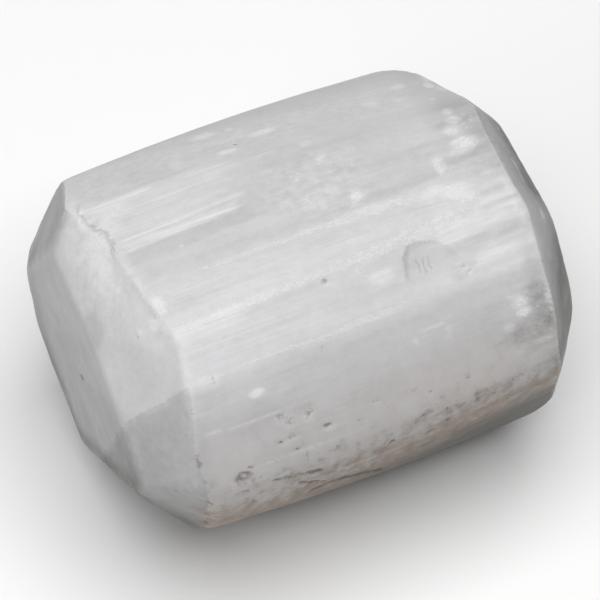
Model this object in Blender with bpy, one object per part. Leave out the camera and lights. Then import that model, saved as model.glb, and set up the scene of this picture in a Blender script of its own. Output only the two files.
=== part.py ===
"""Polished selenite (satin spar) stone: one short, fat, faceted barrel of fibrous gypsum.

The stone's length, and its fibres, run along X. It rests on a flat worn face at Z = 0, and the
origin is under the middle of the stone. The script works in millimetres and scales once at the end.
"""
import math

import bmesh
import bpy
import numpy as np
from mathutils import Matrix, Vector

METRES_PER_MM = 0.001

# Every ground face is a plane: (turn, lean, reach).
# turn: degrees about the stone's length, from the front (-Y) up over the top (+Z at 90).
# lean: degrees that the face's outward direction swings from square to the length towards +X.
# reach: millimetres from the grinding centre to the plane.
LONG_FACES = {
    "front": (-19, 2, 14.00),
    "front_lower_shoulder": (33, 2, 14.20),
    "front_upper_shoulder": (47, 2, 14.30),
    "top_front": (84, 1, 13.45),
    "top_back": (93, 1, 12.90),
    "back_shoulder": (123, 4, 12.90),
    "back": (170, -4, 14.00),
    "back_low": (206, 0, 13.80),
    "back_under": (238, 0, 13.75),
    "rest": (270, 0, 13.35),
    "front_under": (311, -4, 13.85),
}
END_FACES = {
    "left_end": (0, -90, 17.25),
    "left_top_bevel": (78, -55, 18.75),
    "left_front_bevel": (53, -58, 18.55),
    "left_low_front_bevel": (-25, -40, 18.70),
    "left_under_front_bevel": (-56, -52, 17.90),
    "left_under_back_bevel": (-120, -59, 19.00),
    "left_low_back_bevel": (200, -61, 19.80),
    "left_back_bevel": (149, -54, 19.35),
    "right_end": (0, 90, 17.55),
    "right_top_bevel": (85, 58, 18.75),
    "right_front_bevel": (40, 55, 19.30),
    "right_mid_front_bevel": (20, 55, 19.60),
    "right_low_front_bevel": (-11, 54, 19.60),
    "right_under_front_bevel": (-71, 57, 18.45),
    "right_under_back_bevel": (-130, 58, 19.35),
    "right_low_back_bevel": (178, 53, 18.25),
    "right_back_bevel": (128, 50, 18.60),
    "right_back_shoulder": (129, 26, 17.80),
}
REST_WEAR = 0.15                        # worn off the rest face, which makes it truly flat
# Where the grinding centre sits over the origin, which is under the middle of the stone.
GRINDING_CENTRE = Vector((-0.15, 0.37, LONG_FACES["rest"][2] - REST_WEAR))

# Tumbling rounds the ridges between the long faces: the higher the power, the crisper the ridge.
RIDGE_POWER = 20.0
BARREL_SWELL = 0.03                     # share by which the sides draw in at SWELL_LENGTH from the middle
SWELL_LENGTH = 13.8
SETTLING_ROUNDS = 6                     # the radius changes the swell's share, so it is worked out in rounds

# The blank that is shaped: a drum a little longer than the stone.
BLANK_RADIUS = 14.0
BLANK_LENGTH = 38.0
BLANK_SIDES = 96
BLANK_SLICES = 22

WELD_DISTANCE = 0.02                    # slivers left where two cuts meet are merged below this

STONE_COLOUR = (0.60, 0.60, 0.585, 1.0)
STONE_ROUGHNESS = 0.32
SMOOTH_ANGLE = math.radians(14.0)


def outward(turn, lean):
    """Outward direction of a ground face."""
    turn = math.radians(turn)
    lean = math.radians(lean)
    across = math.cos(lean)
    return Vector((math.sin(lean), -across * math.cos(turn), across * math.sin(turn)))


def tumbled_radius(x, around, normals, reaches):
    """Distance from the stone's length to its tumbled side, at place x and angle around.

    A point's nearness to a plane is 1 on the plane. The side is where the nearnesses to all the
    planes, added with a high power, make 1, so it follows each plane and rounds the ridges.
    """
    draw_in = 1.0 + BARREL_SWELL * (x / SWELL_LENGTH) ** 2
    radius = BLANK_RADIUS
    for _ in range(SETTLING_ROUNDS):
        point = np.array((x, -radius * math.cos(around), radius * math.sin(around)))
        nearness = np.maximum(normals @ point, 0.0) / reaches * draw_in
        radius /= (nearness ** RIDGE_POWER).sum() ** (1.0 / RIDGE_POWER)
    return radius


def make_blank(shape):
    """A drum along X, sliced across so that its side can swell."""
    bmesh.ops.create_cone(
        shape, cap_ends=True, cap_tris=False, segments=BLANK_SIDES,
        radius1=BLANK_RADIUS, radius2=BLANK_RADIUS, depth=BLANK_LENGTH,
        matrix=Matrix.Rotation(math.radians(90.0), 4, "Y"),
    )
    half = BLANK_LENGTH / 2.0
    staves = [edge for edge in shape.edges if abs(edge.verts[0].co.x - edge.verts[1].co.x) > half]
    bmesh.ops.subdivide_edges(shape, edges=staves, cuts=BLANK_SLICES)


def tumble(shape):
    """Moves the drum's side to the soft ridges and shallow faces of the tumbled barrel."""
    normals = np.array([outward(turn, lean) for turn, lean, _ in LONG_FACES.values()])
    reaches = np.array([reach for _, _, reach in LONG_FACES.values()])
    for vert in shape.verts:
        around = math.atan2(vert.co.z, -vert.co.y)
        radius = tumbled_radius(vert.co.x, around, normals, reaches)
        vert.co.y = -radius * math.cos(around)
        vert.co.z = radius * math.sin(around)


def grind(shape, direction, reach):
    """Cuts one flat face: everything further out than reach along direction goes."""
    cut = bmesh.ops.bisect_plane(
        shape, geom=shape.verts[:] + shape.edges[:] + shape.faces[:], dist=0.0001,
        plane_co=direction * reach, plane_no=direction, clear_outer=True,
    )
    rim = [item for item in cut["geom_cut"] if isinstance(item, bmesh.types.BMEdge)]
    bmesh.ops.edgeloop_fill(shape, edges=rim)


def grind_stone():
    """The whole stone as a mesh in metres, resting on Z = 0."""
    shape = bmesh.new()
    make_blank(shape)
    tumble(shape)
    for turn, lean, reach in END_FACES.values():
        grind(shape, outward(turn, lean), reach)
    rest_turn, rest_lean, rest_reach = LONG_FACES["rest"]
    grind(shape, outward(rest_turn, rest_lean), rest_reach - REST_WEAR)
    bmesh.ops.remove_doubles(shape, verts=shape.verts, dist=WELD_DISTANCE)
    bmesh.ops.dissolve_degenerate(shape, edges=shape.edges, dist=WELD_DISTANCE)
    bmesh.ops.translate(shape, verts=shape.verts, vec=GRINDING_CENTRE)
    bmesh.ops.scale(shape, verts=shape.verts, vec=Vector((METRES_PER_MM,) * 3))
    bmesh.ops.recalc_face_normals(shape, faces=shape.faces)
    mesh = bpy.data.meshes.new("selenite_stone")
    shape.to_mesh(mesh)
    shape.free()
    mesh.shade_smooth()
    mesh.set_sharp_from_angle(angle=SMOOTH_ANGLE)
    return mesh


def stone_material():
    """Milky white satin spar with a soft polish."""
    material = bpy.data.materials.new("milky_selenite")
    material.use_nodes = True
    shader = material.node_tree.nodes["Principled BSDF"]
    shader.inputs["Base Color"].default_value = STONE_COLOUR
    shader.inputs["Roughness"].default_value = STONE_ROUGHNESS
    shader.inputs["Metallic"].default_value = 0.0
    return material


for old_object in list(bpy.data.objects):
    bpy.data.objects.remove(old_object)

parts = bpy.data.collections.new("selenite_barrel_stone")
bpy.context.scene.collection.children.link(parts)
stone = bpy.data.objects.new("selenite_stone", grind_stone())
stone.data.materials.append(stone_material())
parts.objects.link(stone)
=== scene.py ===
import math

import bmesh
import bpy
import numpy as np
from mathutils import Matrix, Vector, noise


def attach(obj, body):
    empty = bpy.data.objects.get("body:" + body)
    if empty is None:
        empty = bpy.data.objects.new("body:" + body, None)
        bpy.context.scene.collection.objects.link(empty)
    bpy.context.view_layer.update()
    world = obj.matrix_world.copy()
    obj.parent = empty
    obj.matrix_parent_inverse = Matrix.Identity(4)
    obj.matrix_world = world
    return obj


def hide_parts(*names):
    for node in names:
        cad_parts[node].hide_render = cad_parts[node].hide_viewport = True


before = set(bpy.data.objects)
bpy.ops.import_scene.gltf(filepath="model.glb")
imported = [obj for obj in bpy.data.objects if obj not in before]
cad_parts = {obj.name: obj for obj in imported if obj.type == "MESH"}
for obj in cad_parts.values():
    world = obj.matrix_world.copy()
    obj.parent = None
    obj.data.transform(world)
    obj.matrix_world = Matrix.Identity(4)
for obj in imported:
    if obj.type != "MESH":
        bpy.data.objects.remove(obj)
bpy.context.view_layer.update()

# ------------------------------------------------------------------------------------------------
# The ground block. The real stone is one lump of satin spar, a gypsum whose fibres all run one way.
# It was sawn across the fibres, ground to shallow faces along its length, bevelled at both ends and
# tumbled until the long ridges went soft. It is worked in millimetres from the grinding centre.
# ------------------------------------------------------------------------------------------------
MM = 0.001
# Faces as (turn, lean, reach): degrees about the length from the front up over the top, degrees
# towards the right end, and millimetres from the grinding centre. They are the frame's own faces.
REST_REACH = 13.35
LONG_FACES = (
    (-19, 2, 14.00), (33, 2, 14.20), (47, 2, 14.30), (84, 1, 13.45), (93, 1, 12.90), (123, 4, 12.90),
    (170, -4, 14.00), (206, 0, 13.80), (238, 0, 13.75), (270, 0, REST_REACH), (311, -4, 13.85),
)
LEFT_FACES = (
    (0, -90, 17.25), (78, -55, 18.75), (53, -58, 18.55), (-25, -40, 18.70), (-56, -52, 17.90),
    (-120, -59, 19.00), (200, -61, 19.80), (149, -54, 19.35),
)
RIGHT_FACES = (
    (0, 90, 17.55), (85, 58, 18.75), (40, 55, 19.30), (20, 55, 19.60), (-11, 54, 19.60),
    (-71, 57, 18.45), (-130, 58, 19.35), (178, 53, 18.25), (128, 50, 18.60), (129, 26, 17.80),
)
REST_WEAR = 0.15                        # worn off the rest face, which makes it flat
GRINDING_CENTRE = np.array((-0.15, 0.37, REST_REACH - REST_WEAR))
RIDGE_POWER = 20.0                      # the higher, the crisper the ridges along the stone
EDGE_POWER = 150.0                      # the same for the edges of the bevels
BARREL_SWELL = 0.03                     # share by which the sides draw in at SWELL_LENGTH
SWELL_LENGTH = 13.8
BLOCK_HALF = 10.0
BLOCK_STRETCH = 1.25
BLOCK_CUTS = 124
GRINDING_PASSES = 6                     # each pass brings the skin nearer to the ground faces


def outward(turn, lean):
    """Outward direction of a ground face."""
    turn, lean = math.radians(turn), math.radians(lean)
    return math.sin(lean), -math.cos(lean) * math.cos(turn), math.cos(lean) * math.sin(turn)


def face_planes(faces):
    """Outward directions and reaches of a group of faces, as arrays."""
    normals = np.array([outward(turn, lean) for turn, lean, _ in faces])
    return normals, np.array([reach for _, _, reach in faces])


def side_nearness(places):
    """1 on the ground sides, less inside them, with soft ridges between the long faces."""
    normals, reaches = face_planes(LONG_FACES)
    draw_in = 1.0 + BARREL_SWELL * (places[:, :1] / SWELL_LENGTH) ** 2
    near = np.maximum(places @ normals.T, 0.0) / reaches * draw_in
    return (near ** RIDGE_POWER).sum(axis=1) ** (1.0 / RIDGE_POWER)


def end_nearness(places, faces):
    """1 on a group of end faces, less inside them, with crisp edges between them."""
    normals, reaches = face_planes(faces)
    near = np.maximum(places @ normals.T, 0.0) / reaches
    return (near ** EDGE_POWER).sum(axis=1) ** (1.0 / EDGE_POWER)


def nearness(places):
    """1 on the whole ground surface, less inside it."""
    sides, ends = side_nearness(places), end_nearness(places, LEFT_FACES + RIGHT_FACES)
    return (sides ** EDGE_POWER + ends ** EDGE_POWER) ** (1.0 / EDGE_POWER)


block = bmesh.new()
bmesh.ops.create_cube(block, size=2.0)
bmesh.ops.subdivide_edges(block, edges=block.edges[:], cuts=BLOCK_CUTS, use_grid_fill=True)
# The tangent keeps the cube's squares about equal once they are drawn on to the rounder block.
places = np.tan(np.array([vert.co for vert in block.verts]) * math.pi / 4.0)
places *= np.array((BLOCK_STRETCH, 1.0, 1.0)) * BLOCK_HALF
for _ in range(GRINDING_PASSES):
    places /= nearness(places)[:, None]
for vert, place in zip(block.verts, places):
    vert.co = place
bmesh.ops.recalc_face_normals(block, faces=block.faces[:])
block.normal_update()
facing = np.array([vert.normal for vert in block.verts])
length = places[:, 0]
turn = np.degrees(np.arctan2(places[:, 2], -places[:, 1]))

# ------------------------------------------------------------------------------------------------
# The tumbled skin. Satin spar is soft and grinds unevenly, so the faces are gently wavy and keep
# shallow grooves along the fibres. Both are worked into the surface itself.
# ------------------------------------------------------------------------------------------------
WAVE_DEPTH = 0.05
GROOVE_DEPTH = 0.02
SKIN_RADIUS = 14.0
MM_PER_DEGREE = math.radians(SKIN_RADIUS)
NOISE_STEP = 17.3                       # how far apart the seeds start in the noise
OCTAVES = 3


def grain(along, across, seed):
    """Noise, about -1 to 1, in patches so many millimetres along and across the fibres."""
    patch = np.array((1.0 / along, 1.0 / across, 1.0 / across))
    spots = places * patch + seed * NOISE_STEP
    return np.array([noise.fractal(Vector(spot), 1.0, 2.0, OCTAVES) for spot in spots])


def ramp(values, low, high):
    """0 below low, 1 above high and a smooth rise between; the other way round if low is the greater."""
    share = np.clip((values - low) / (high - low), 0.0, 1.0)
    return share * share * (3.0 - 2.0 * share)


def between(values, start, full, fading, gone):
    """0 up to start, 1 from full to fading, 0 past gone, and smooth between them."""
    return ramp(values, start, full) * ramp(values, gone, fading)


def follow(path, places_along=None):
    """A value that follows points (place, value), by default along the length."""
    at, value = np.array(path).T
    return np.interp(length if places_along is None else places_along, at, value)


relief = WAVE_DEPTH * grain(9.0, 3.2, 1) + GROOVE_DEPTH * grain(14.0, 0.9, 2)
ragged = grain(1.2, 0.5, 3)
crumbly = grain(0.55, 0.45, 4)
drift = grain(6.0, 2.5, 5)

# ------------------------------------------------------------------------------------------------
# Bands in the vein. The fibres don't all scatter light alike: some bundles are silky and bright, and
# the windows between them are clearer and duller. All of them run with the fibres, as they grew.
# ------------------------------------------------------------------------------------------------
# Bands as (left, right, low turn, high turn, strength). They climb a little to the right.
SILKY_BUNDLES = (
    (-14.2, -4.3, 90.0, 113.0, 0.25), (-14.3, -9.5, 110.0, 112.8, 0.90), (-10.0, -3.4, 110.3, 111.6, 0.55),
    (-13.9, -4.0, 105.0, 106.4, 0.70), (-14.0, 0.5, 107.2, 108.4, 0.40), (-13.0, -5.0, 100.4, 102.3, 0.35),
    (-13.6, -4.0, 94.2, 95.6, 0.90), (-13.5, -4.4, 90.0, 93.0, 0.75), (-13.0, -7.5, 53.8, 59.0, 0.50),
    (7.5, 14.5, 55.2, 61.0, 0.60), (9.0, 14.5, 46.0, 49.2, 0.35), (11.0, 14.5, 41.8, 43.6, 0.30),
    (-12.5, 12.0, 61.5, 73.0, 0.25), (-13.0, -2.0, 44.0, 53.0, 0.15), (11.4, 14.5, 63.0, 65.0, 0.45),
    (11.8, 14.5, 68.5, 70.0, 0.40), (10.5, 14.4, 50.6, 51.8, 0.40), (12.2, 14.4, 72.5, 73.6, 0.35),
)
DULL_WINDOWS = (
    (-13.3, -3.8, 84.0, 89.6, 0.60), (-8.0, -2.5, 56.0, 58.0, 0.50), (8.0, 11.5, 52.0, 54.6, 0.60),
    (4.0, 9.5, 76.5, 79.5, 0.45), (-13.2, -5.0, 77.0, 86.0, 0.25), (-12.0, -7.0, 113.2, 115.2, 0.30),
    (9.8, 14.4, 80.0, 83.8, 0.80), (11.3, 14.5, 96.0, 98.6, 0.90), (11.8, 14.5, 88.6, 90.6, 0.60),
    (12.4, 14.5, 104.0, 108.0, 0.50), (11.5, 14.4, 61.2, 62.6, 0.60), (12.0, 14.4, 66.0, 67.6, 0.60),
    (12.2, 14.5, 52.6, 54.4, 0.60), (7.8, 9.6, 44.2, 48.6, 0.90), (12.0, 14.3, 73.8, 78.0, 0.60),
)
SILKY_MILK = 0.10
DULL_MILK = 0.06
BAND_CLIMB = 0.18                       # degrees of turn for each millimetre to the right
# Painted light and shade by turn, as (turn, how much lighter than the mean the stone is made).
PAINTED_LIGHT_ROUND = (
    (-100, 0.0), (34, 0.0), (38, 0.02), (43, 0.09), (48, 0.08), (53, 0.03), (62, -0.01), (75, 0.0),
    (85, -0.015), (100, 0.0), (108, 0.01), (114, 0.06), (128, 0.06), (138, 0.05), (146, 0.04),
    (160, 0.05), (175, 0.0),
)
HIDDEN_BANDS = 18                       # on the back and underside, scattered by a fixed rule


def scatter(count, step, least, spread):
    """A number between least and least + spread, which jumps about evenly as the count goes up."""
    return least + spread * (count * step % 1.0)


def lay_bands(bands):
    """A layer of bands that run with the fibres, with frayed ends."""
    layer = np.zeros(len(places))
    for left, right, low, high, strength in bands:
        climbed = turn - BAND_CLIMB * (length - left)
        band = between(climbed, low - 0.4, low + 0.4, high - 0.6, high + 0.8)
        band *= ramp(length + 0.5 * ragged, left - 0.6, left + 0.4)
        band *= ramp(length + 0.8 * ragged, right + 0.6, right - 0.6)
        layer = np.maximum(layer, strength * band)
    return layer


silky = lay_bands(SILKY_BUNDLES)
for count in range(HIDDEN_BANDS):
    left = scatter(count, 0.618, -14.0, 14.0)
    right = scatter(count, 0.732, left + 5.0, 12.0)
    low = scatter(count, 0.414, -172.0, 118.0)
    high = scatter(count, 0.268, low + 1.2, 5.0)
    strength = scatter(count, 0.236, 0.4, 0.6)
    silky = np.maximum(silky, lay_bands(((left, right, low, high, strength),)))
# The last term is painted light and shade: lighter on the back shoulder and along turns 38 to 53.
milk_and_painted_light = SILKY_MILK * silky - DULL_MILK * lay_bands(DULL_WINDOWS) + follow(PAINTED_LIGHT_ROUND, turn)

# ------------------------------------------------------------------------------------------------
# The stained foot. Past one growth plane the vein took up clay as it grew, so the foot is greyer and
# browner, and soft lumps along its lower edge have soaked up soil. Underneath, painted shade darkens
# it towards the lower outline.
# ------------------------------------------------------------------------------------------------
GROWTH_DIRECTION = np.array((0.0, -0.906, -0.423))
GROWTH_REACH = 5.4
STAIN_SLANT = 0.5                       # degrees that it climbs for each millimetre to the right
# How strong the stain is, as (turn, strength).
STAIN_ROUND = (
    (-92, 0.0), (-70, 0.6), (-50, 1.0), (-15, 0.94), (-6, 0.80), (0, 0.64), (6, 0.45), (13, 0.34),
    (25, 0.29), (31, 0.10), (36, 0.0),
)
LIGHTER_SPOT = 0.25                     # share of the stain missing high up on its right part
LIGHTER_LENGTH = (8.5, 12.5, 13.2, 14.4)
DARKER_SPOT = 0.22                      # stain added where the foot nears the left rim
DARKER_TURNS = (-24.0, -10.0, -2.0, 6.0)
# The upper edge of the lumpy belt as (x, turn), and the shade underneath as (x, strength).
FOOT_EDGE = ((-14.0, 8.0), (-11.0, 9.5), (-4.0, 9.6), (4.3, 9.6), (6.7, 8.3), (10.0, 8.4), (12.9, 5.8))
SHADE_ALONG = ((-9, 0.1), (-4, 0.5), (3, 0.8), (11, 1.0))

growth_gap = places @ GROWTH_DIRECTION - GROWTH_REACH + 0.12 * drift + 0.20 * ragged
growth_gap = np.clip(growth_gap, -2.0, 9.0)
stain_turn = turn - STAIN_SLANT * length * ramp(turn, 26.0, 6.0)
stain_turn = stain_turn + (3.0 * ragged + 3.0 * drift) * ramp(turn, 30.0, 18.0)
stain = follow(STAIN_ROUND, stain_turn)
stain *= 1.0 - LIGHTER_SPOT * between(length, *LIGHTER_LENGTH) * ramp(turn, 0.0, 6.0)
stain += DARKER_SPOT * ramp(length, -9.5, -12.5) * between(turn, *DARKER_TURNS)
lumpy = ramp(turn - follow(FOOT_EDGE) + 7.0 * ragged + 2.5 * crumbly, 3.0, -3.0)
# Painted shade: darker under the foot towards the lower outline, more so to the right.
shade = ramp(stain_turn, -8.0, -30.0) * ramp(turn, -80.0, -50.0) * follow(SHADE_ALONG)

# ------------------------------------------------------------------------------------------------
# The rims and the ground ends. The end faces look into the fibres end on, so they are glass-like
# and grey, more so on the right, where painted shade darkens them too, and most of all at the foot.
# Their rims are chipped and worn pale.
# ------------------------------------------------------------------------------------------------
LEFT_SAWN = LEFT_FACES[:1]
LEFT_NEAR = LEFT_FACES[:4]              # the sawn face and its top, front and low front bevels
LEFT_FAR = LEFT_FACES[4:]
LEFT_LOW_AND_FAR = LEFT_FACES[3:]
RIGHT_SAWN = RIGHT_FACES[:1]
RIGHT_END = RIGHT_FACES[:-1]            # the last one is a shoulder of the side
RIM_MM = 20.0                           # about so many millimetres for each unit of nearness
RIM_REACH = 2.0                         # how far to either side a rim is followed
RIM_CHIP_DEPTH = 0.05
# Stretches as (start, full, fading, gone), in degrees of turn, or in millimetres from the rim.
RIM_WEAR_TURNS = (36.0, 60.0, 112.0, 125.0)
RIM_HAZE_TURNS = (40.0, 58.0, 112.0, 128.0)
RIM_HAZE_WIDTH = (-0.2, 1.8, 3.0, 5.5)
RIM_DIRT_TURNS = (-60.0, -30.0, 38.0, 46.0)
LOW_BEVEL_TURNS = (-40.0, -20.0, 4.0, 12.0)
LOW_RIM_TURNS = (-40.0, -10.0, 36.0, 46.0)
FAR_EDGE_WIDTH = (-2.0, 0.0, 0.1, 1.5)
RIM_WEAR_MILK = 0.01
RIM_HAZE_MILK = 0.055
FOOT_RIM_MILK = 0.035
# Where the low front stretch of the left rim is worn back to, as (turn, x).
WORN_RIM = ((-30, -13.0), (-7, -13.5), (8, -13.9), (24, -14.0))
WORN_CORNER = np.array((-16.98, -1.9, 7.8))
WORN_CORNER_GLASS = 0.22
LEFT_END_GLASS = 0.43
LEFT_BEVEL_GLASS = (0.10, 0.50, 0.50, 0.52, 0.60)
LOW_RIM_CLEARING = 0.45                 # share of the glass missing along the low part of the rim
# How glass-like and shaded the ends are: by (millimetres past the growth plane, share), by (height,
# share) for painted shade along the left end's far edge, by (x, share), and by (turn, multiple of the
# share along x), these two for glass and painted shade on the right bevels.
LEFT_GROWTH_GLASS = ((0.0, 0.0), (0.3, 0.26), (5.0, 0.37), (7.5, 0.59), (9.0, 0.70))
FAR_EDGE_SHADE = ((-6, 0.48), (-3, 0.42), (-1, 0.24), (1, 0.15), (8, 0.11))
RIGHT_GLASS_AND_SHADE_ALONG = ((13.4, 0.26), (14.2, 0.36), (15.5, 0.62), (16.4, 0.90), (17.2, 1.10))
RIGHT_GLASS_AND_SHADE_ROUND = (
    (-60, 0.8), (-20, 1.5), (-5, 2.1), (10, 2.1), (25, 1.35), (45, 0.70), (52, 0.66), (60, 0.86),
    (68, 1.10), (80, 0.98), (110, 0.80), (160, 0.8),
)
RIGHT_GLASS_AND_SHADE_MOST = 1.08
SAWN_RIGHT_GLASS = 0.70
LEFT_END_STAIN = 0.25
RIGHT_END_STAIN = 0.6
LOW_BEVEL_STAIN = 0.45
LEFT_RIM_LIGHT = 0.25
RIGHT_RIM_LIGHT = 0.60


def off_rim(faces):
    """Rough millimetres from a rim: above 0 on the given end faces, below 0 off them."""
    others = [face for face in LEFT_FACES + RIGHT_FACES if face not in faces]
    rest = np.maximum(side_nearness(places), end_nearness(places, others))
    return (end_nearness(places, faces) - rest) * RIM_MM


# How far each place is from its rim.
on_left = length < 0.0
left_half = ramp(length, 0.0, -1.0)
left_rim = off_rim(LEFT_FACES)
rim_kept = np.maximum(ramp(turn, 20.0, 32.0), ramp(turn, -18.0, -32.0))
left_rim = left_rim * rim_kept + (follow(WORN_RIM, turn) - length) * (1.0 - rim_kept)
rim_gap = np.clip(np.where(on_left, left_rim, off_rim(RIGHT_END)), -RIM_REACH, RIM_REACH)
milk_and_painted_light *= ramp(rim_gap, 1.2, 0.0)

# The upper left rim is worn chalky, with a pale haze on its bevels. The end's lower part is duller.
rim_wear = ramp(np.abs(left_rim), 1.6, 0.1) * between(turn, *RIM_WEAR_TURNS)
rim_wear = np.clip(rim_wear * (0.65 + 0.6 * crumbly + 0.5 * ragged), 0.0, 1.0)
rim_haze = between(left_rim, *RIM_HAZE_WIDTH) * between(turn, *RIM_HAZE_TURNS)
milk_and_painted_light += RIM_WEAR_MILK * rim_wear + RIM_HAZE_MILK * rim_haze * (1.0 + 0.4 * drift)
foot_rim = ramp(rim_gap, -1.6, -0.1) * ramp(turn, 40.0, 24.0) * left_half
milk_and_painted_light -= FOOT_RIM_MILK * foot_rim * (1.0 + 0.8 * ragged)

# Glass on the left end: its sawn face and worn corner, its lower and far bevels, and its foot, with
# painted shade along the edge where its near faces meet the far ones.
left_sawn = ramp(off_rim(LEFT_SAWN) + 0.10 * ragged, -0.35, 0.6)
left_glass_and_shade = (LEFT_END_GLASS - 0.07 * ramp(places[:, 2], 1.0, 6.0)) * left_sawn
worn_corner = ramp(np.linalg.norm(places - WORN_CORNER, axis=1) + 0.15 * ragged, 1.6, 0.9)
left_glass_and_shade = np.maximum(left_glass_and_shade, WORN_CORNER_GLASS * worn_corner)
for face, glass in zip(LEFT_LOW_AND_FAR, LEFT_BEVEL_GLASS):
    left_glass_and_shade = np.maximum(left_glass_and_shade, glass * ramp(off_rim((face,)), -0.9, 0.6))
left_glass_and_shade += follow(LEFT_GROWTH_GLASS, growth_gap)
left_glass_and_shade *= 1.0 - LOW_RIM_CLEARING * ramp(left_rim, 1.8, 0.0) * between(turn, *LOW_RIM_TURNS)
far_gap = (end_nearness(places, LEFT_NEAR) - end_nearness(places, LEFT_FAR)) * RIM_MM
# Painted shade along the edge between the left end's near and far faces.
left_glass_and_shade += between(far_gap, *FAR_EDGE_WIDTH) * follow(FAR_EDGE_SHADE, places[:, 2])

# Glass on the right end, which deepens towards its sawn face, with painted shade over its bevels.
# Painted shade over the right bevels, deeper towards the outline, by x and by turn.
right_glass_and_shade = follow(RIGHT_GLASS_AND_SHADE_ALONG) * follow(RIGHT_GLASS_AND_SHADE_ROUND, turn)
right_sawn = ramp(off_rim(RIGHT_SAWN) + 0.2 * ragged, -0.5, 0.3)
right_glass_and_shade = np.minimum(right_glass_and_shade, RIGHT_GLASS_AND_SHADE_MOST) * (1.0 - right_sawn)
right_glass_and_shade = right_glass_and_shade + SAWN_RIGHT_GLASS * right_sawn
# The ends' glass, with painted shade on the right bevels and along the left end's far edge.
end_glass_and_shade = np.where(on_left, left_glass_and_shade, right_glass_and_shade) * (0.93 + 0.20 * drift + 0.06 * crumbly)
end_glass_and_shade = np.clip(end_glass_and_shade, 0.0, 1.0)

# Stain on the ends, dirt in the low left rim, a light line along worn rims, and the rims' chips.
end_stain = np.where(on_left, LEFT_END_STAIN, RIGHT_END_STAIN) * ramp(growth_gap, 4.0, 9.0)
low_bevel = ramp(length, -15.2, -13.6) * left_half * between(turn, *LOW_BEVEL_TURNS)
end_stain += LOW_BEVEL_STAIN * low_bevel
rim_dirt = between(turn, *RIM_DIRT_TURNS) * left_half
rim_light = np.where(on_left, LEFT_RIM_LIGHT * ramp(turn, 44.0, 56.0), RIGHT_RIM_LIGHT)
rim_light = rim_light * np.clip(0.7 + 0.6 * ragged + 0.4 * crumbly, 0.0, 1.0)
chipped = ramp(np.abs(rim_gap), 0.5, 0.05) * np.clip(0.3 + 0.9 * crumbly + 0.5 * ragged, 0.0, 1.0)
relief -= RIM_CHIP_DEPTH * chipped

# ------------------------------------------------------------------------------------------------
# Clear patches. By the right rim and over the top's right end the crystal is less milky, so light
# goes in and doesn't come back, and it looks dark and glass-like there. Down the back the colour
# is darkened by painted shade.
# ------------------------------------------------------------------------------------------------
TOP_GLASS = 0.20
# Painted shade down the back, as (turn, share).
BACK_SHADE = ((135, 0.0), (143, 0.08), (151, 0.16), (158, 0.19), (210, 0.17), (250, 0.0))
# Glassy spots as (x, turn, half length, half width, depth).
DARK_WINDOW = (
    (13.4, 22.0, 1.5, 2.1, 0.32), (12.9, 17.0, 1.3, 0.8, 0.20), (11.8, 20.5, 1.7, 0.9, 0.30),
    (13.5, 32.0, 1.0, 1.0, 0.42), (13.8, 41.0, 0.8, 1.6, 0.16), (13.7, 6.5, 0.7, 1.4, 0.22),
    (12.3, -4.0, 1.3, 1.1, 0.30), (13.4, 133.0, 0.8, 2.0, 0.16), (13.4, 119.0, 0.8, 1.4, 0.14),
    (13.8, 96.0, 0.5, 1.2, 0.14), (13.9, 77.0, 0.5, 1.0, 0.16),
)
glass_and_back_shade = TOP_GLASS * ramp(length, 10.5, 14.0) * ramp(turn, 72.0, 90.0)
# Painted shade down the back, by turn.
glass_and_back_shade = np.maximum(glass_and_back_shade, follow(BACK_SHADE, turn % 360.0))
window = np.zeros(len(places))
for x, turn_there, along, across, depth in DARK_WINDOW:
    spread = np.hypot((length - x) / along, (turn - turn_there) * MM_PER_DEGREE / across)
    window = np.maximum(window, depth * ramp(spread + 0.35 * ragged, 1.5, 0.3))
glass_and_back_shade = np.maximum(glass_and_back_shade, window * (1.0 + 0.5 * crumbly))
glass_and_back_shade = np.clip(glass_and_back_shade * (1.0 + 0.20 * drift), 0.0, 1.0)

# ------------------------------------------------------------------------------------------------
# Crushed mineral. Knocks in the tumbler bruise the ridges and corners: the fibres there part and
# turn chalk white, and the surface goes granular and a little low. Softer knocks only cloud it.
# ------------------------------------------------------------------------------------------------
CRUSH_DEPTH = 0.06
HIDDEN_BRUISES = 36                     # on the back and underside, scattered by a fixed rule
HIDDEN_CRUSH_STEP = 3                   # one hidden bruise in so many is crushed as well as clouded
HIDDEN_CRUSH = 0.7
MOTTLE_CRUSH = 0.55
RIM_CRUSH = 0.3
# Mottled patches: an oval one on the top, then stretches as (start, full, fading, gone).
MOTTLED_TOP_X = 1.5
MOTTLED_TOP_TURN = 90.0
MOTTLED_TOP_LENGTH = 4.5
MOTTLED_TOP_TURNS = 15.0
MOTTLED_RIGHT_TURNS = (66.0, 80.0, 120.0, 145.0)
MOTTLED_LEFT_LENGTH = (-17.1, -16.3, -14.6, -13.9)
MOTTLED_LEFT_TURNS = (62.0, 80.0, 112.0, 122.0)
MOTTLED_BACK_TURNS = (112.0, 120.0, 142.0, 152.0)
MARK_SOFTNESS = 0.5
MARK_RAGGEDNESS = 0.30
SEARCH_REACH = 20.0                     # past the surface in every direction
SEARCH_STEPS = 24
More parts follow.
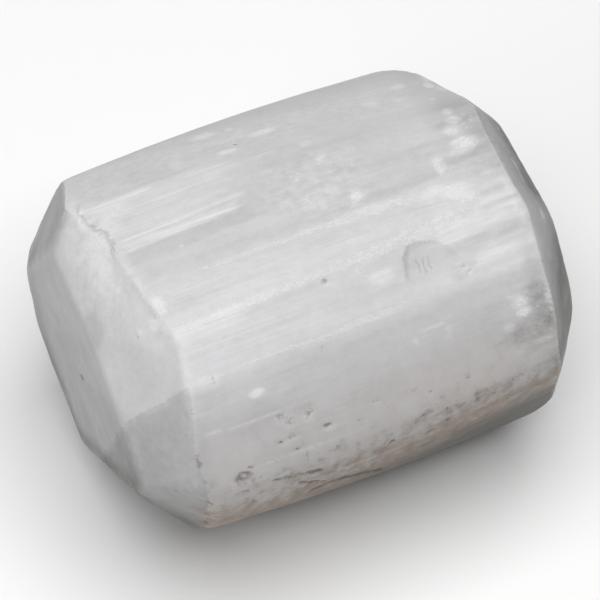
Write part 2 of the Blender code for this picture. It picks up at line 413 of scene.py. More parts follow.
# The crushed ridges as (x, turn) points, (x, half width) points and (x, strength) points.
CRUSHED_RIDGES = (
    (
        ((-11.4, 74.5), (4.3, 74.3), (7.0, 73.5), (9.5, 71.0), (12.0, 66.0)),
        ((-6, 0.2), (2, 0.35), (9, 0.8)),
        ((-11, 0.5), (-5, 0.7), (4, 0.8), (11, 0.5), (13, 0)),
    ),
    (
        ((-12.8, 59.0), (-6.0, 59.5), (0.0, 60.2), (7.0, 62.0), (10.0, 64.0), (13.0, 66.0)),
        ((-12, 0.3), (0, 0.35), (9, 0.8)),
        ((-12, 1.0), (-5, 1.0), (3, 0.9), (9, 0.75), (11, 0.5), (13, 0)),
    ),
    (
        ((-12.9, 42.0), (-6.0, 43.2), (-3.0, 42.3), (1.0, 43.2), (9.0, 43.0)),
        ((-12, 0.15), (0, 0.20), (7, 0.12)),
        ((-12, 0.55), (-6, 0.50), (1, 0.75), (4, 0.50), (7, 0.0)),
    ),
)
# Knocks that crush, then softer ones that only cloud, as (x, turn, half length, half width, strength).
KNOCKS = (
    (-14.7, 113.5, 0.30, 0.50, 0.90), (-13.6, 63.5, 0.45, 0.35, 0.80), (-13.3, 55.5, 0.50, 0.25, 0.45),
    (-13.2, 67.0, 0.30, 0.90, 0.45), (-13.5, 51.0, 0.25, 0.60, 0.30), (-14.6, 60.5, 0.80, 0.18, 0.50),
    (-14.4, 65.5, 0.90, 0.15, 0.40), (-15.1, 97.0, 0.75, 1.90, 0.55), (-9.7, 85.3, 0.18, 0.12, 0.90),
    (-5.5, 22.3, 0.55, 0.40, 0.45), (-7.2, 23.8, 0.80, 0.60, 0.45), (8.5, 47.6, 0.55, 0.45, 0.55),
    (8.9, 45.6, 0.30, 0.25, 0.60), (2.6, 100.5, 0.40, 0.30, 0.85), (2.4, 109.3, 0.55, 0.35, 0.65),
    (3.0, 114.0, 0.35, 0.20, 0.45), (3.5, 80.8, 0.50, 0.45, 0.80), (2.9, 78.0, 0.35, 0.30, 0.50),
    (0.3, 82.8, 0.90, 0.30, 0.60), (5.2, 86.5, 0.60, 0.18, 0.50), (2.9, 89.3, 0.30, 0.25, 0.45),
    (0.1, 95.0, 0.40, 0.35, 0.45), (-1.3, 101.8, 0.40, 0.18, 0.45), (4.9, 99.5, 0.35, 0.40, 0.40),
    (10.1, 83.3, 0.38, 0.40, 0.80), (10.0, 80.0, 0.35, 0.50, 0.60), (10.8, 78.7, 0.15, 0.12, 0.80),
    (12.7, 89.0, 0.80, 0.40, 0.85), (13.1, 86.0, 0.80, 0.50, 0.55), (12.3, 95.0, 0.55, 0.60, 0.50),
    (13.2, 100.0, 0.40, 0.40, 0.65), (13.5, 95.0, 0.30, 0.50, 0.50), (6.0, 66.5, 0.20, 0.35, 0.60),
    (2.0, 53.0, 0.80, 0.50, 0.50), (0.6, 43.0, 0.70, 0.15, 0.65), (-3.2, 42.0, 0.80, 0.22, 0.55),
    (-11.8, 42.5, 0.95, 0.35, 0.60), (11.9, 30.8, 0.60, 0.50, 0.70), (12.1, 27.0, 0.55, 0.35, 0.90),
    (11.4, 33.0, 0.45, 0.20, 0.55), (13.2, 19.0, 0.25, 0.15, 0.55), (13.9, 18.5, 0.20, 0.35, 0.50),
    (12.7, 33.0, 0.35, 0.12, 0.50), (13.3, 27.0, 0.20, 0.15, 0.60), (14.2, 28.5, 0.28, 0.45, 0.75),
    (14.3, 24.0, 0.20, 0.50, 0.60), (1.0, 57.5, 0.60, 0.25, 0.50),
)
CLOUDS = (
    (-3.2, 137.5, 0.90, 0.50, 0.90), (-1.2, 136.5, 0.30, 0.40, 0.60), (0.6, 126.5, 0.90, 0.50, 1.00),
    (-2.8, 118.8, 0.80, 0.35, 1.00), (-6.7, 120.5, 0.50, 0.80, 0.35), (-13.6, 120.0, 0.30, 0.30, 0.30),
    (3.8, 135.5, 0.50, 0.40, 0.25), (8.9, 126.5, 0.60, 0.60, 0.70), (10.9, 124.0, 0.40, 0.50, 0.50),
    (13.9, 132.0, 0.30, 0.80, 0.80), (11.9, 137.0, 0.50, 0.50, 0.60), (12.9, 116.5, 0.20, 0.30, 0.50),
    (-8.7, 33.9, 0.55, 0.30, 0.95), (3.6, 31.3, 0.20, 0.20, 0.40), (6.2, 29.5, 0.25, 0.70, 0.20),
    (10.7, 24.3, 0.40, 0.25, 0.40), (-12.4, 27.0, 0.50, 0.12, 0.40), (-15.1, 96.0, 0.50, 1.70, 0.55),
    (-15.1, 108.0, 0.35, 0.60, 0.60), (12.6, 88.0, 0.90, 0.60, 0.80), (12.5, 94.0, 0.70, 0.50, 0.60),
    (10.1, 81.5, 0.40, 0.60, 0.40), (3.4, 80.5, 0.50, 0.45, 0.45), (12.0, 30.5, 0.60, 0.40, 0.60),
    (12.2, 27.0, 0.50, 0.30, 0.80), (-12.8, 108.0, 1.20, 0.80, 0.50), (-13.4, 103.0, 0.80, 0.80, 0.40),
    (12.6, 35.3, 1.50, 0.07, 0.70), (-11.7, 42.3, 0.90, 0.30, 0.40), (-13.1, 68.0, 0.40, 0.80, 0.60),
    (-13.9, 63.5, 0.35, 0.50, 0.80), (-14.9, 81.0, 0.45, 0.20, 0.60), (-11.0, 12.1, 0.25, 0.12, 0.75),
    (2.6, 53.4, 0.95, 0.45, 0.62), (-13.4, 60.0, 0.35, 0.35, 0.40), (-14.7, 63.0, 1.10, 0.25, 0.55),
    (12.9, 99.0, 0.50, 0.60, 0.55), (14.4, 126.0, 0.40, 0.80, 0.50), (14.3, 139.0, 0.30, 0.60, 0.60),
    (13.0, 104.0, 0.35, 0.50, 0.60), (12.2, 84.5, 0.90, 0.35, 0.50), (-9.0, 26.0, 3.50, 0.08, 0.50),
    (5.2, 33.4, 1.00, 0.09, 0.45), (-5.0, 13.0, 5.00, 0.10, 0.30), (14.35, 30.0, 0.12, 1.40, 0.60),
    (14.40, 50.0, 0.12, 3.00, 0.25), (13.3, 16.5, 0.80, 0.20, 0.35), (14.0, 66.5, 0.30, 0.60, 0.45),
    (13.9, 61.0, 0.40, 0.30, 0.40), (14.1, 55.5, 0.30, 0.60, 0.40), (14.2, 49.0, 0.20, 0.60, 0.35),
    (10.2, 70.5, 1.00, 0.60, 0.50), (8.6, 72.8, 0.80, 0.40, 0.45), (10.9, 68.0, 0.60, 0.40, 0.45),
    (16.1, 78.0, 0.18, 0.60, 0.45), (16.3, 54.0, 0.20, 0.50, 0.50), (16.0, 70.5, 0.12, 0.60, 0.30),
)


def ground_spot(x, turn_there):
    """The place on the ground surface at x along the stone and a turn about it."""
    around = np.array((0.0, *outward(turn_there, 0)[1:]))
    near, far = 0.0, SEARCH_REACH
    for _ in range(SEARCH_STEPS):
        middle = (near + far) / 2.0
        inside = nearness((around * middle + (x, 0.0, 0.0))[None])[0] < 1.0
        near, far = (middle, far) if inside else (near, middle)
    return around * near + (x, 0.0, 0.0)


def oval(x, turn_there, along, across, softness, raggedness):
    """1 inside an oval mark with a ragged rim, 0 outside it. Its half sizes are in millimetres."""
    offset = places - ground_spot(x, turn_there)
    distance = np.hypot(offset[:, 0] / along, np.linalg.norm(offset[:, 1:], axis=1) / across)
    return ramp(distance + raggedness * ragged, 1.0 + softness, 1.0 - softness)


def add_marks(layer, marks, softness, raggedness):
    """Lays marks (x, turn, half length, half width, strength) over a layer."""
    for x, turn_there, along, across, strength in marks:
        layer = np.maximum(layer, strength * oval(x, turn_there, along, across, softness, raggedness))
    return layer


def seam(path, widths, strengths):
    """A ragged band that follows (x, turn) points, with a half width and strength that vary with x."""
    miss = np.abs(turn - follow(path)) * MM_PER_DEGREE
    width = follow(widths)
    band = ramp(miss + 0.4 * width * ragged, width * 1.5, width * 0.3) * (0.8 + 0.5 * crumbly)
    return band * follow(strengths) * ramp(length, path[0][0] - 0.5, path[0][0] + 0.5)


def add_seams(layer, seams):
    """Lays seams (path, half widths, strengths) over a layer."""
    for path, widths, strengths in seams:
        layer = np.maximum(layer, seam(path, widths, strengths))
    return layer


crushed = add_seams(np.zeros(len(places)), CRUSHED_RIDGES)
crushed = add_marks(crushed, KNOCKS, MARK_SOFTNESS, MARK_RAGGEDNESS)

# Fine crushing in patches: on the top, by the right end, by the left rim and on the back shoulder.
top_along = (length - MOTTLED_TOP_X) / MOTTLED_TOP_LENGTH
top_across = (turn - MOTTLED_TOP_TURN) / MOTTLED_TOP_TURNS
mottled = ramp(np.hypot(top_along, top_across), 1.2, 0.6)
mottled = np.maximum(mottled, ramp(length, 11.3, 12.8) * between(turn, *MOTTLED_RIGHT_TURNS))
mottled_left = between(length, *MOTTLED_LEFT_LENGTH) * between(turn, *MOTTLED_LEFT_TURNS)
mottled = np.maximum(mottled, mottled_left)
mottled = np.maximum(mottled, 0.9 * between(turn, *MOTTLED_BACK_TURNS))
crushed = np.maximum(crushed, MOTTLE_CRUSH * mottled * ramp(crumbly + 0.5 * ragged, 0.15, 0.8))
crushed = np.maximum(crushed, RIM_CRUSH * rim_wear)

clouded = add_marks(np.zeros(len(places)), CLOUDS, MARK_SOFTNESS, MARK_RAGGEDNESS)
for count in range(HIDDEN_BRUISES):
    x = scatter(count, 0.618, -12.5, 25.0)
    turn_there = scatter(count, 0.414, -45.0, -165.0)
    size = 0.2 + 0.6 * scatter(count, 0.732, 0.0, 1.0) ** 2
    along = size * scatter(count, 0.545, 0.9, 1.8)
    bruise = oval(x, turn_there, along, size * 0.6, 0.7, 0.5)
    clouded = np.maximum(clouded, scatter(count, 0.236, 0.3, 0.5) * bruise)
    if count % HIDDEN_CRUSH_STEP == 0:
        crushed = np.maximum(crushed, HIDDEN_CRUSH * bruise)
relief -= CRUSH_DEPTH * crushed * (0.5 + 0.5 * crumbly)

# ------------------------------------------------------------------------------------------------
# Pits and scars. Soft spots along the foot have weathered out and hold brown dirt. A flake has come
# off the front shoulder, with cracks across its fibres, and a crack follows the rim of the left end.
# ------------------------------------------------------------------------------------------------
PIT_DEPTH = 0.12
FLAKE_DEPTH = 0.10
CRACK_DEPTH = 0.10
PIT_SOFTNESS = 0.6
PIT_RAGGEDNESS = 0.35
# Pits as (x, turn, half length, half width, strength).
PITS = (
    (-10.45, 13.7, 0.36, 0.12, 0.75), (-11.75, 11.6, 0.34, 0.14, 0.75), (-11.0, 6.5, 0.35, 0.20, 0.60),
    (-10.5, -2.6, 0.60, 0.28, 0.50), (-13.3, -17.0, 0.30, 0.50, 0.60), (-7.4, 24.5, 0.45, 0.40, 0.48),
    (-6.8, 22.6, 0.45, 0.35, 0.50), (-5.4, 22.8, 0.40, 0.45, 0.55), (-5.3, 24.5, 0.25, 0.20, 0.40),
    (-5.5, 21.1, 0.40, 0.12, 0.50), (-9.4, 20.8, 0.30, 0.20, 0.35), (-7.9, 17.4, 0.35, 0.13, 0.85),
    (-6.9, 18.0, 0.70, 0.12, 0.80), (-4.3, 17.4, 0.40, 0.14, 0.78), (-0.4, 18.8, 0.45, 0.15, 0.60),
    (-1.9, 15.6, 0.20, 0.14, 0.75), (-6.8, 14.0, 0.35, 0.20, 0.66), (-9.8, 10.1, 0.40, 0.14, 0.60),
    (-6.2, 11.3, 0.20, 0.50, 0.50), (-10.4, -1.0, 0.25, 0.50, 0.60), (0.4, 3.1, 0.35, 0.30, 1.00),
    (3.8, 15.3, 0.25, 0.18, 0.60), (3.0, 9.2, 0.45, 0.20, 0.55), (4.8, 8.0, 0.25, 0.16, 0.70),
    (9.1, 7.6, 0.25, 0.16, 0.60), (10.2, 7.5, 0.30, 0.18, 0.60), (5.0, 1.5, 0.35, 0.70, 0.60),
    (-1.5, 8.5, 0.40, 0.25, 0.45), (-1.87, 123.2, 0.14, 0.18, 1.20), (-17.25, -120.5, 0.16, 0.26, 1.20),
    (-15.7, 9.0, 0.25, 0.20, 0.70), (-11.4, 41.8, 0.14, 0.50, 0.60), (-3.25, 38.7, 0.10, 0.25, 0.55),
    (-1.5, 57.7, 0.35, 0.24, 0.58), (-13.4, 57.8, 0.30, 0.20, 0.45), (-14.9, 62.5, 0.20, 0.15, 0.60),
    (-13.8, 33.0, 0.12, 0.50, 0.45), (-14.0, 26.0, 0.10, 0.35, 0.45), (-13.9, 14.0, 0.18, 0.50, 0.48),
    (-13.8, 6.0, 0.25, 0.40, 0.50), (-13.5, -6.0, 0.30, 0.50, 0.60), (-6.2, 9.7, 0.25, 0.30, 0.48),
    (-9.4, -9.0, 0.35, 0.30, 0.50), (8.2, 49.6, 0.20, 0.10, 0.55), (8.6, 47.6, 0.30, 0.12, 0.50),
    (8.9, 45.6, 0.22, 0.12, 0.55), (9.3, 46.6, 0.15, 0.10, 0.50), (-13.9, 34.0, 0.12, 0.50, 0.45),
    (-14.2, 20.0, 0.15, 0.40, 0.45),
)
# Weathered seams: one along the foot's left part, two further down, and one along its right part.
WEATHERED_SEAMS = (
    (
        ((-10.1, 8.1), (-8.5, 6.6), (-7.0, 5.1), (-6.0, 4.3), (-5.1, 3.5)),
        ((-10, 0.16), (-5, 0.30)),
        ((-10, 0.5), (-7.5, 0.8), (-5.2, 1.0), (-5, 0)),
    ),
    (
        ((-7.0, 0.6), (-5.7, -4.0), (-4.3, -10.0)),
        ((-7, 0.3), (-4, 0.4)),
        ((-7, 1.0), (-4.6, 1.0), (-4.2, 0)),
    ),
    (
        ((-5.5, -14.0), (-4.0, -12.7), (-2.8, -13.8), (-0.9, -18.2), (1.0, -24.6)),
        ((-5, 0.4), (1, 0.6)),
        ((-5, 1.0), (0.6, 1.0), (1.1, 0)),
    ),
    (
        (
            (4.3, 3.2), (5.6, 5.0), (6.9, 6.1), (8.4, 7.6), (9.9, 8.8), (10.9, 8.4), (11.8, 6.5),
            (12.2, 3.5),
        ),
        ((4, 0.14), (12, 0.18)),
        ((4, 0.3), (7, 0.5), (11.9, 0.6), (12.3, 0)),
    ),
)
HOLE_PLACE = (-11.05, 12.2)             # x and turn of the one round hole, low on the left
HOLE_HALF_LENGTH = 0.46
HOLE_HALF_WIDTH = 0.28
# The flake scar's left and right edges as (turn, x), its top, and how deep it is along the stone.
FLAKE_LEFT = ((46, 5.2), (50, 4.3), (56, 4.5), (60, 5.2))
FLAKE_RIGHT = ((46, 9.2), (51, 8.5), (56, 7.7), (58, 7.0), (60, 5.5))
FLAKE_TOP_TURN = 59.2
FLAKE_ALONG = ((4.5, 1.0), (6.0, 0.8), (8.5, 0.4))
CROSS_CRACKED = (5.85, 52.0, 0.80, 0.65)
# The crack by the left rim as (turn, x).
RIM_CRACK = (
    (60, -13.7), (70, -13.9), (80, -14.1), (84, -14.2), (92, -14.35), (96, -14.0), (100, -13.95),
    (102, -14.1), (103.5, -14.5), (106, -14.7), (109, -14.9), (111, -14.85), (114, -14.9), (117, -14.6),
)
CRACK_TURNS = (89.0, 92.0, 114.0, 118.0)
FAINT_CRACK = 0.3                       # its strength in front of those turns
FAINT_CRACK_TURNS = (60.0, 66.0, 89.0, 92.0)

pitted = add_marks(np.zeros(len(places)), PITS, PIT_SOFTNESS, PIT_RAGGEDNESS)
pitted = add_seams(pitted, WEATHERED_SEAMS)
hole_offset = places - ground_spot(*HOLE_PLACE)
hole_along = hole_offset[:, 0] / HOLE_HALF_LENGTH
hole_across = np.linalg.norm(hole_offset[:, 1:], axis=1) / HOLE_HALF_WIDTH
hole_gap = np.clip(np.hypot(hole_along, hole_across) - 1.0, -1.0, 1.0)
relief -= 0.5 * PIT_DEPTH * ramp(hole_gap, 0.3, -0.2)
relief -= PIT_DEPTH * np.minimum(pitted, 1.0)

flake_left = follow(FLAKE_LEFT, turn) - length
flake_right = (length - follow(FLAKE_RIGHT, turn)) * 0.8
flake_top = (turn - FLAKE_TOP_TURN) * MM_PER_DEGREE
flake_gap = np.maximum(np.maximum(flake_left, flake_right), flake_top) + 0.12 * ragged
flake_gap = np.clip(flake_gap, -1.0, 1.0)
flake_share = ramp(turn, 44.0, 54.0) * follow(FLAKE_ALONG)
relief -= FLAKE_DEPTH * flake_share * ramp(flake_gap, 0.05, -0.25) * (0.8 + 0.2 * drift)
cross_cracked = oval(*CROSS_CRACKED, 0.4, 0.2)

crack_gap = np.clip(length - follow(RIM_CRACK, turn), -1.0, 1.0)
crack_share = between(turn, *CRACK_TURNS) + FAINT_CRACK * between(turn, *FAINT_CRACK_TURNS)
relief -= CRACK_DEPTH * crack_share * ramp(np.abs(crack_gap + 0.10 * crumbly), 0.22, 0.0)

# ------------------------------------------------------------------------------------------------
# The finished stone. The relief goes on to the ground block, which is flat where it rests, and the
# places of its bands, stains, bruises and scars go with it as layers for the finish.
# ------------------------------------------------------------------------------------------------
places += facing * relief[:, None]
places += GRINDING_CENTRE
places[:, 2] = np.maximum(places[:, 2], 0.0)
for vert, place in zip(block.verts, places):
    vert.co = place * MM
stone_mesh = bpy.data.meshes.new("selenite_stone_polished")
block.to_mesh(stone_mesh)
block.free()
stone_mesh.shade_smooth()
layers = {
    "silky": silky, "milk_and_painted_light": milk_and_painted_light, "glass_and_back_shade": glass_and_back_shade, "end_glass_and_shade": end_glass_and_shade,
    "growth_gap": growth_gap, "stain": stain, "end_stain": end_stain, "lumpy": lumpy, "shade": shade,
    "rim_gap": rim_gap, "rim_light": rim_light, "rim_dirt": rim_dirt, "mottled": mottled,
    "crushed": crushed, "clouded": clouded, "pitted": pitted, "hole_gap": hole_gap,
    "flake_gap": flake_gap, "flake_share": flake_share, "cross_cracked": cross_cracked,
    "crack_gap": crack_gap, "crack_share": crack_share,
}
for name, values in layers.items():
    layer = stone_mesh.attributes.new(name, "FLOAT", "POINT")
    layer.data.foreach_set("value", values.astype(np.float32))
stone = bpy.data.objects.new("selenite_stone_polished", stone_mesh)
bpy.context.scene.collection.objects.link(stone)
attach(stone, "root")
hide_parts("selenite_stone")

# ------------------------------------------------------------------------------------------------
# The finish. Milky gypsum with a soft polish: light goes a little way in and comes back white,
# streaked by the fibres. Crushed spots are chalky, glass-like ones dark, and pits hold dirt. Painted
# shade darkens the foot, the back and the ends, and painted light and shade change the tone by turn.
# ------------------------------------------------------------------------------------------------
MILK = 0.50                             # share of the light that plain stone sends back
MILK_TINT = (1.0, 0.994, 1.010)
# Dark glass, also used for painted shade on the back and the ends.
GLASS_AND_SHADE_COLOUR = (0.095, 0.098, 0.088, 1.0)
FOOT_COLOUR = (0.256, 0.204, 0.160, 1.0)
RUST_COLOUR = (0.30, 0.20, 0.14, 1.0)
DIRT_COLOUR = (0.085, 0.066, 0.048, 1.0)
SHADE_COLOUR = (0.078, 0.073, 0.062, 1.0)
CLOUD_COLOUR = (0.70, 0.70, 0.70, 1.0)
CHALK_COLOUR = (0.66, 0.66, 0.655, 1.0)
RUST_SHARE = 0.22
RIM_LIGHT_SHARE = 0.35
PIT_DIRT_SHARE = 0.58
ROUGHNESS = 0.46
BUMP_STRENGTH = 0.6
BUMP_DEPTH = 0.00006
MILK_SCATTER = 0.5
MILK_DEPTH = 0.0006
CRACKS_PER_METRE = 2200.0


class Wire:
    """A socket in the finish. Arithmetic on wires adds Math nodes to the tree."""

    tree = None

    def __init__(self, socket):
        self.socket = socket

    @classmethod
    def node(cls, kind, settings=None, sockets=None, output=0):
        """Adds a node: its settings are set first, then its sockets take wires or values."""
        made = cls.tree.nodes.new(kind)
        for name, value in (settings or {}).items():
            setattr(made, name, value)
        for name, value in (sockets or {}).items():
            if isinstance(value, cls):
                cls.tree.links.new(value.socket, made.inputs[name])
            else:
                made.inputs[name].default_value = value
        return cls(made.outputs[output])

    def maths(self, operation, *values):
        """One Math node: the values and wires given fill its sockets in turn, or this wire alone does."""
        values = values or (self,)
        return self.node("ShaderNodeMath", {"operation": operation}, dict(enumerate(values)))

    def __add__(self, other):
        return self.maths("ADD", self, other)

    __radd__ = __add__

    def __mul__(self, other):
        return self.maths("MULTIPLY", self, other)

    __rmul__ = __mul__

    def __sub__(self, other):
        return self.maths("SUBTRACT", self, other)

    def __rsub__(self, other):
        return self.maths("SUBTRACT", other, self)

    def __abs__(self):
        return self.maths("ABSOLUTE")


finish = bpy.data.materials.new("milky_selenite_polished")
finish.use_nodes = True
Wire.tree = finish.node_tree
shader = Wire.tree.nodes["Principled BSDF"]


def painted(name):
    """One of the stone's own layers."""
    return Wire.node("ShaderNodeAttribute", {"attribute_name": name}, output="Fac")


def squeezed_spot(along, across):
    """The place on the stone, counted in patches so many millimetres long and wide."""
    size = (1.0 / MM / along, 1.0 / MM / across, 1.0 / MM / across)
    spot = Wire.node("ShaderNodeTexCoord", output="Object")
    return Wire.node("ShaderNodeMapping", {"vector_type": "POINT"}, {"Vector": spot, "Scale": size})


def fibres(along, across, detail, roughness=0.55):
    """Noise around 0 that runs with the fibres, in patches so many millimetres long and wide."""
    sockets = {"Vector": squeezed_spot(along, across), "Scale": 1.0}
    sockets.update({"Detail": detail, "Roughness": roughness})
    return Wire.node("ShaderNodeTexNoise", {"noise_dimensions": "3D"}, sockets, "Fac") - 0.5


def rise(value, low, high):
    """0 below low, 1 above high, smooth between; the other way round if low is the greater."""
    ends = (0.0, 1.0) if low < high else (1.0, 0.0)
    sockets = {"Value": value, "From Min": min(low, high), "From Max": max(low, high)}
    sockets.update({"To Min": ends[0], "To Max": ends[1]})
    return Wire.node("ShaderNodeMapRange", {"interpolation_type": "SMOOTHSTEP", "clamp": True}, sockets)


def line_at(gap, outer, inner):
    """A line where a gap is about 0: 1 nearer to it than inner, 0 further off than outer."""
    return rise(abs(gap), outer, inner)


def tint(share, under, over):
    """Blends one colour over another."""
    return Wire.node("ShaderNodeMix", {"data_type": "RGBA"}, {0: share, 6: under, 7: over}, output=2)


# The grain of the stone, from broad bundles of fibres down to single grains.
fine_fibre = fibres(9.0, 0.20, 4.0)
broad_fibre = fibres(16.0, 1.6, 3.0)
streaky = rise(fibres(7.0, 2.0, 2.0), -0.05, 0.20)
cloud = fibres(4.0, 3.0, 3.0)
lumps = fibres(0.9, 1.5, 3.0, 0.50)
blotch = fibres(0.7, 0.5, 3.0)
sand = fibres(0.20, 0.16, 2.0)
scratch = rise(fibres(7.0, 0.10, 0.0), 0.30, 0.36)
chip_sockets = {"Vector": squeezed_spot(0.18, 0.15), "Scale": 1.0}
chip_colours = Wire.node("ShaderNodeTexVoronoi", None, chip_sockets, "Color")
chip = Wire.node("ShaderNodeSeparateColor", None, {"Color": chip_colours})

# Where the ends begin, and where the growth plane comes to the surface.
on_end = rise(painted("rim_gap") + blotch * 0.25 + sand * 0.15, -0.08, 0.08)
off_end = 1.0 - on_end
growth = painted("growth_gap") + blotch * 0.5 + sand * 0.25
foot = rise(growth, -0.10, 0.10)
growth_line = line_at(growth, 0.16, 0.02) * on_end

# The foot's stain, uneven and lumpy, with rusty specks, dark specks and grime in its hollows.
staining = painted("stain") * off_end + painted("end_stain") * on_end
lumpy_share = painted("lumpy") * off_end
uneven = lumps * 0.6 + (lumps * 0.9 + blotch * 0.8) * lumpy_share
uneven = uneven + blotch * 0.5 + broad_fibre * 0.8 + sand * 0.6
stained = rise(staining * (1.0 + lumpy_share * 0.12 + uneven), 0.0, 1.1)
rusty = rise(fibres(0.5, 0.28, 3.0), 0.02, 0.22) * stained
foot_specks = rise(fibres(0.6, 0.38, 2.0) + staining * 0.10 + lumpy_share * 0.04, 0.19, 0.31)
foot_specks = foot_specks * rise(growth, 1.5, 5.0)
grime = rise(lumps + blotch * 0.3 + staining * 0.12 + lumpy_share * 0.08, 0.12, 0.46)
grime = grime * rise(growth, 3.5, 7.0)

# Chalky granules, dirt in the pits, and the lines of the rims, the hole, the flake and the cracks.
granules = rise(painted("crushed") * 1.2 + chip * 0.9 + sand * 0.7, 0.9, 1.4)
dirt = rise(painted("pitted") + sand * 0.8 + blotch * 0.5, 0.35, 0.75)
rim_marks = line_at(painted("rim_gap") + blotch * 0.7, 0.22, 0.03)
rim_marks = rim_marks * rise(fibres(1.5, 0.35, 2.0), 0.0, 0.15) * painted("rim_dirt")
rim_line = line_at(painted("rim_gap") + sand * 0.25, 0.22, 0.03) * painted("rim_light")
hole_ring = line_at(painted("hole_gap") + blotch * 1.6 + sand * 0.8, 0.70, 0.10) * (0.8 + blotch * 1.6)
jagged = blotch * 0.9 + sand * 0.7
rim_crack = line_at(painted("crack_gap") + jagged, 0.24, 0.03) * painted("crack_share")
flake_edge = line_at(painted("flake_gap") + sand * 0.6 + blotch * 0.2, 0.24, 0.02)
flake_edge = flake_edge * painted("flake_share")
flake_floor = rise(painted("flake_gap"), 0.05, -0.05) * painted("flake_share")
spot = Wire.node("ShaderNodeTexCoord", output="Object")
lengthwise = Wire.node("ShaderNodeSeparateXYZ", None, {"Vector": spot})
comb = (lengthwise * CRACKS_PER_METRE + blotch * 1.6 + sand * 0.4).maths("FRACT") - 0.5
cross_cracks = line_at(comb, 0.17, 0.04) * rise(painted("cross_cracked") + blotch * 1.2, 0.45, 0.65)

# How milky the stone is, streak by streak, with light and shade painted in by turn.
fibre_show = (0.03 + streaky * 0.07 + painted("silky") * 0.30) * (1.0 - lumpy_share * 0.6 - staining * 0.3)
fibre_show = fibre_show * (1.0 - on_end * 0.6)
milk = MILK + painted("milk_and_painted_light") + fine_fibre * fibre_show
milk = milk + broad_fibre * 0.09 * (1.0 - lumpy_share * 0.6) + cloud * 0.10
milk = milk + blotch * (0.08 + painted("mottled") * 0.10) + sand * 0.05 + scratch * 0.025
milk = milk + painted("crushed") * 0.06 - foot * 0.015
milk = milk - flake_floor * (0.045 + blotch * 0.12 + sand * 0.08)
milk_sockets = {name: milk * share for name, share in zip(("Red", "Green", "Blue"), MILK_TINT)}
stone_colour = Wire.node("ShaderNodeCombineColor", None, milk_sockets)

# Stain, painted shade and glass go over the milk, then clouds and chalk, and dirt last.
stone_colour = tint(stained, stone_colour, FOOT_COLOUR)
stone_colour = tint(rusty * RUST_SHARE, stone_colour, RUST_COLOUR)
stone_colour = tint(painted("shade") * off_end, stone_colour, SHADE_COLOUR)
# The glass share also holds painted shade on the back, the right bevels and the left end's far edge.
glass = painted("glass_and_back_shade") * (1.0 + blotch * 1.4 + sand * 1.2) * off_end + painted("end_glass_and_shade") * on_end
stone_colour = tint(glass, stone_colour, GLASS_AND_SHADE_COLOUR)
stone_colour = tint(painted("clouded") * (0.60 + chip * 0.40 + sand * 1.0), stone_colour, CLOUD_COLOUR)
stone_colour = tint(granules * (0.10 + chip * 0.35 + sand * 0.5), stone_colour, CHALK_COLOUR)
stone_colour = tint(rim_line * RIM_LIGHT_SHARE, stone_colour, CLOUD_COLOUR)
marks = rim_crack * 0.20 + flake_edge * 0.14 + cross_cracks * 0.20 + growth_line * 0.14
marks = marks + rim_marks * 0.40 + hole_ring * 0.62 + foot_specks * 0.30 + grime * 0.36
stone_colour = tint(marks, stone_colour, DIRT_COLOUR)
stone_colour = tint(dirt * PIT_DIRT_SHARE, stone_colour, DIRT_COLOUR)
Wire.tree.links.new(stone_colour.socket, shader.inputs["Base Color"])

polish = ROUGHNESS + painted("crushed") * 0.25 + fine_fibre * 0.12 + dirt * 0.2
Wire.tree.links.new(polish.socket, shader.inputs["Roughness"])
height = fine_fibre * 0.4 + granules * chip * 0.8 + granules * sand * 0.8
height = height - dirt * 0.5 - rim_crack * 0.8 - cross_cracks * 0.5
bump_sockets = {"Strength": BUMP_STRENGTH, "Distance": BUMP_DEPTH, "Height": height}
bump = Wire.node("ShaderNodeBump", None, bump_sockets)
Wire.tree.links.new(bump.socket, shader.inputs["Normal"])
shader.inputs["Subsurface Weight"].default_value = MILK_SCATTER
shader.inputs["Subsurface Radius"].default_value = (1.0, 1.0, 1.0)
shader.inputs["Subsurface Scale"].default_value = MILK_DEPTH
stone_mesh.materials.append(finish)

# ------------------------------------------------------------------------------------------------
# The studio: a matt pale floor that the stone rests on, a soft box overhead with a weaker fill from
# the left, a dim room all round, and a long lens that looks down at the stone.
# ------------------------------------------------------------------------------------------------
FLOOR_HALF = 3.0
FLOOR_COLOUR = (0.76, 0.76, 0.76, 1.0)
FLOOR_ROUGHNESS = 0.9
ROOM_COLOUR = (1.0, 1.0, 1.0, 1.0)
ROOM_GLOW = 0.05
LIGHT_DISTANCE = 0.8
OVERHEAD_DIRECTION = (0.0, -0.13, 1.0)
OVERHEAD_SIZE = 0.9
OVERHEAD_POWER = 10.0
FILL_DIRECTION = (-1.0, -0.25, 0.45)
FILL_SIZE = 0.5
FILL_POWER = 2.0
CAMERA_AZIMUTH = -24.53
CAMERA_ELEVATION = 52.91
CAMERA_DISTANCE = 0.4218
CAMERA_LENS = 348.0
CAMERA_SENSOR = 36.0
CAMERA_NEAREST = 0.01
CAMERA_AIM = Vector((-0.18, 0.275, 13.13)) * MM

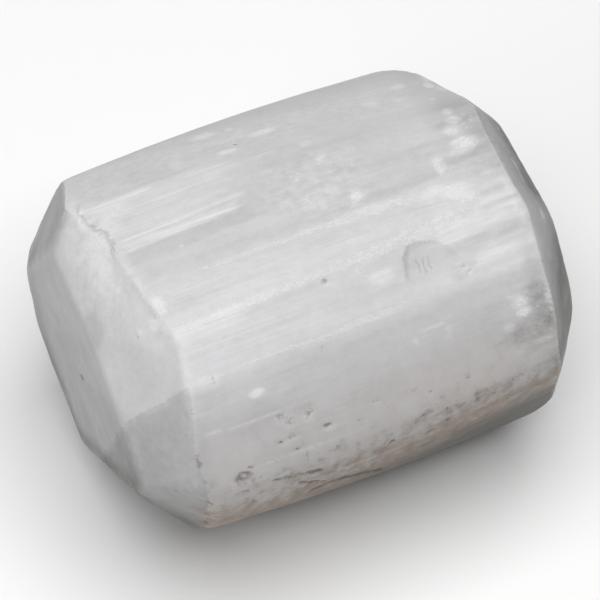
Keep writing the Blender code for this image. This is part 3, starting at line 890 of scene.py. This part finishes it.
floor_shape = bmesh.new()
bmesh.ops.create_grid(floor_shape, x_segments=1, y_segments=1, size=FLOOR_HALF)
floor_mesh = bpy.data.meshes.new("pale_floor")
floor_shape.to_mesh(floor_mesh)
floor_shape.free()
floor = bpy.data.objects.new("pale_floor", floor_mesh)
bpy.context.scene.collection.objects.link(floor)
floor_paint = bpy.data.materials.new("pale_floor_paint")
floor_paint.use_nodes = True
floor_shader = floor_paint.node_tree.nodes["Principled BSDF"]
floor_shader.inputs["Base Color"].default_value = FLOOR_COLOUR
floor_shader.inputs["Roughness"].default_value = FLOOR_ROUGHNESS
floor_mesh.materials.append(floor_paint)

room = bpy.data.worlds.new("dim_room")
room.use_nodes = True
room.node_tree.nodes["Background"].inputs["Color"].default_value = ROOM_COLOUR
room.node_tree.nodes["Background"].inputs["Strength"].default_value = ROOM_GLOW
bpy.context.scene.world = room
bpy.context.scene.view_settings.view_transform = "Standard"


def soft_light(name, direction, size, power):
    """A square soft box that faces the stone."""
    lamp = bpy.data.lights.new(name, "AREA")
    lamp.shape = "SQUARE"
    lamp.size = size
    lamp.energy = power
    light = bpy.data.objects.new(name, lamp)
    aim = Vector(direction).normalized()
    light.location = aim * LIGHT_DISTANCE
    light.rotation_mode = "QUATERNION"
    light.rotation_quaternion = aim.to_track_quat("Z", "Y")
    bpy.context.scene.collection.objects.link(light)
    return light


soft_light("overhead_soft_box", OVERHEAD_DIRECTION, OVERHEAD_SIZE, OVERHEAD_POWER)
left_fill = soft_light("left_fill", FILL_DIRECTION, FILL_SIZE, FILL_POWER)
left_fill.visible_glossy = False

lens = bpy.data.cameras.new("product_camera")
lens.lens = CAMERA_LENS
lens.sensor_width = CAMERA_SENSOR
lens.clip_start = CAMERA_NEAREST
camera = bpy.data.objects.new("product_camera", lens)
azimuth, elevation = math.radians(CAMERA_AZIMUTH), math.radians(CAMERA_ELEVATION)
level = math.cos(elevation)
back = Vector((math.sin(azimuth) * level, -math.cos(azimuth) * level, math.sin(elevation)))
camera.location = CAMERA_AIM + back * CAMERA_DISTANCE
camera.rotation_mode = "QUATERNION"
camera.rotation_quaternion = back.to_track_quat("Z", "Y")
bpy.context.scene.collection.objects.link(camera)
bpy.context.scene.camera = camera
